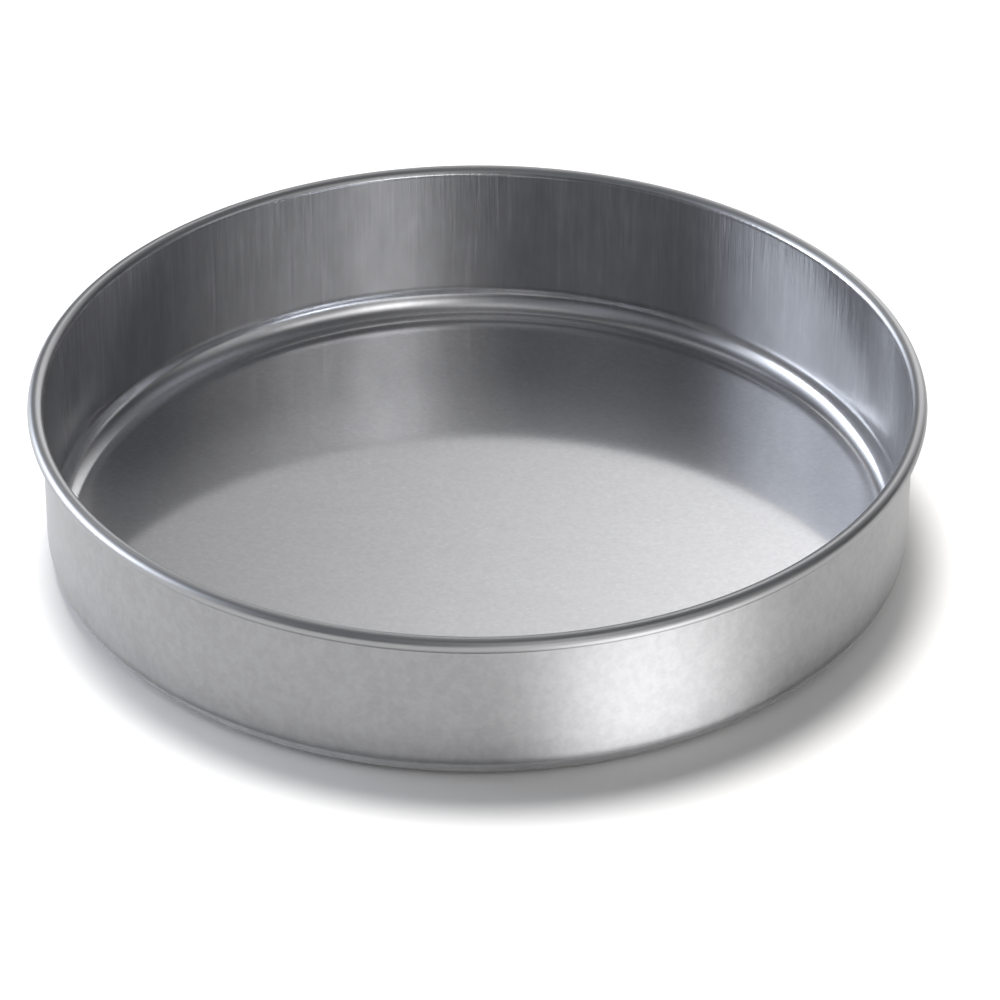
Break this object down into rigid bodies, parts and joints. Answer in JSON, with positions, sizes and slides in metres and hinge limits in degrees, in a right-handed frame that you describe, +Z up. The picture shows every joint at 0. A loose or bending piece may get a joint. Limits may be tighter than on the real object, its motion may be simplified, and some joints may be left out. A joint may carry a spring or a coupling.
{
  "type": "round cake tin",
  "caption": "Shallow round cake tin with straight sides, a solid flat base and a rim curled outwards over a wire.",
  "frame": {"origin": "centre of the underside, on the surface that the tin stands on", "axes": "+Z up out of the mouth, along the axis that the tin is round about; the wire's two ends meet on the +Y side"},
  "size_m": [0.2074, 0.2074, 0.04],
  "materials": {
    "tinned_sheet": "satin tinned steel sheet with faint vertical draw marks on the wall and a fine grain on the floor",
    "rim_wire_steel": "plain drawn steel wire"
  },
  "bodies": {
    "root": {"pan_shell": "tinned_sheet", "rim_wire": "rim_wire_steel"}
  },
  "joints": []
}
